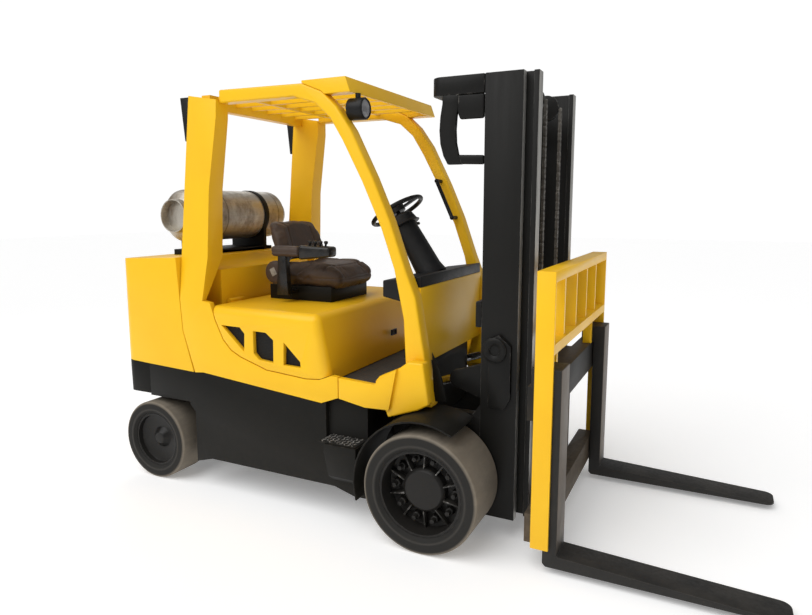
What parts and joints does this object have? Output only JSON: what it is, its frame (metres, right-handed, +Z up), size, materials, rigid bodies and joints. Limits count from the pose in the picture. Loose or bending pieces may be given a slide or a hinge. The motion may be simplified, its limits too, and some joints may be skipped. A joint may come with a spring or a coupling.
{
  "type": "counterbalanced forklift truck",
  "caption": "Seated counterbalanced forklift truck with cushion tyres, overhead guard, gas tank, rear steering and a two-stage mast that tilts and lifts a fork carriage.",
  "frame": {"origin": "middle of the truck's outer box at floor level", "axes": "+X forward along the forks, +Y to the driver's left, +Z up"},
  "size_m": [3.444, 1.434, 2.176],
  "materials": {
    "yellow_paint": "worn gloss",
    "black_paint": "satin",
    "cast_yellow": "worn gloss paint",
    "cast_black": "satin paint",
    "axle_iron": "dirty",
    "tyre": "matte",
    "bright_steel": "oiled",
    "tank_metal": "dirty",
    "fork_steel": "worn",
    "black_plastic": "matte",
    "mat_rubber": "matte",
    "vinyl": "satin"
  },
  "bodies": {
    "chassis": {"main_frame": "black_paint", "counterweight": "cast_yellow", "counterweight_base": "cast_black", "radiator_cover": "yellow_paint", "rear_legs": "yellow_paint", "cowl": "yellow_paint", "dash": "black_plastic", "steering_column": "black_plastic", "floor_plate": "mat_rubber", "pedals": "black_paint", "fenders": "black_paint", "front_legs": "yellow_paint", "guard_roof": "yellow_paint", "tail_lamps": "black_plastic", "work_lamp": "black_plastic", "grab_handle": "black_paint", "engine_block": "axle_iron", "drive_axle": "axle_iron", "steer_axle": "axle_iron", "tank_cradle": "black_paint", "gas_tank": "tank_metal"},
    "drive_right": {"drive_tyre_right": "tyre", "drive_wheel_right": "black_paint"},
    "drive_left": {"drive_tyre_left": "tyre", "drive_wheel_left": "black_paint"},
    "knuckle_right": {"steer_knuckle_right": "axle_iron"},
    "knuckle_left": {"steer_knuckle_left": "axle_iron"},
    "steer_right": {"steer_tyre_right": "tyre", "steer_wheel_right": "black_paint"},
    "steer_left": {"steer_tyre_left": "tyre", "steer_wheel_left": "black_paint"},
    "hand_wheel": {"steering_wheel": "black_plastic"},
    "hood_lid": {"hood": "yellow_paint", "hood_grilles": "black_plastic", "seat_base": "black_plastic", "seat_cushion": "vinyl", "seat_back": "vinyl", "armrest": "black_plastic"},
    "mast_outer": {"mast_outer_rails": "black_paint", "mast_outer_ties": "black_paint", "mast_hangers": "black_paint", "lift_barrels": "black_paint"},
    "mast_inner": {"mast_inner_rails": "black_paint", "mast_inner_ties": "black_paint", "lift_rods": "bright_steel", "chains_rear": "bright_steel"},
    "fork_carriage": {"carriage": "black_paint", "load_backrest": "yellow_paint", "forks": "fork_steel", "chains_front": "bright_steel"},
    "tilt_barrel": {"tilt_barrels": "black_paint"},
    "tilt_rod": {"tilt_rods": "bright_steel"}
  },
  "joints": [
    {"name": "drive_right_spin", "type": "hinge", "parent": "chassis", "child": "drive_right", "pos_m": [0.238, -0.567, 0.28], "axis": [0, 1, 0], "continuous": true},
    {"name": "drive_left_spin", "type": "hinge", "parent": "chassis", "child": "drive_left", "pos_m": [0.238, 0.567, 0.28], "axis": [0, 1, 0], "continuous": true},
    {"name": "steer_left", "type": "hinge", "parent": "chassis", "child": "knuckle_left", "pos_m": [-1.488, 0.404, 0.225], "axis": [0, 0, 1], "range_deg": [-65, 65]},
    {"name": "steer_right", "type": "hinge", "parent": "chassis", "child": "knuckle_right", "pos_m": [-1.488, -0.404, 0.225], "axis": [0, 0, 1], "range_deg": [-65, 65]},
    {"name": "steer_left_spin", "type": "hinge", "parent": "knuckle_left", "child": "steer_left", "pos_m": [-1.488, 0.5175, 0.225], "axis": [0, 1, 0], "continuous": true},
    {"name": "steer_right_spin", "type": "hinge", "parent": "knuckle_right", "child": "steer_right", "pos_m": [-1.488, -0.5175, 0.225], "axis": [0, 1, 0], "continuous": true},
    {"name": "hand_wheel_turn", "type": "hinge", "parent": "chassis", "child": "hand_wheel", "pos_m": [-0.204, 0, 1.512], "axis": [-0.5225, 0, 0.8526], "continuous": true},
    {"name": "hood_open", "type": "hinge", "parent": "chassis", "child": "hood_lid", "pos_m": [-1.098, 0, 1.036], "axis": [0, -1, 0], "range_deg": [0, 26]},
    {"name": "mast_tilt", "type": "hinge", "parent": "chassis", "child": "mast_outer", "pos_m": [0.238, 0, 0.28], "axis": [0, 1, 0], "range_deg": [-6, 5]},
    {"name": "tilt_barrel_swing", "type": "hinge", "parent": "chassis", "child": "tilt_barrel", "pos_m": [-0.382, 0, 0.52], "axis": [0, 1, 0], "range_deg": [-1.71, 1.42]},
    {"name": "tilt_rod_slide", "type": "slide", "parent": "tilt_barrel", "child": "tilt_rod", "axis": [0.9487, 0, 0.3162], "range_m": [-0.04589, 0.03824]},
    {"name": "mast_lift", "type": "slide", "parent": "mast_outer", "child": "mast_inner", "axis": [0, 0, 1], "range_m": [0, 1.4], "deforming": ["chains_rear"]},
    {"name": "carriage_lift", "type": "slide", "parent": "mast_inner", "child": "fork_carriage", "axis": [0, 0, 1], "range_m": [0, 1.4], "deforming": ["chains_front"]}
  ],
  "couplings": [
    {"joint": "steer_right", "follows": "steer_left", "ratio": 1},
    {"joint": "carriage_lift", "follows": "mast_lift", "ratio": 1},
    {"joint": "tilt_barrel_swing", "follows": "mast_tilt", "ratio": 0.27604},
    {"joint": "tilt_rod_slide", "follows": "mast_tilt", "m_per_rad": 0.42542}
  ]
}
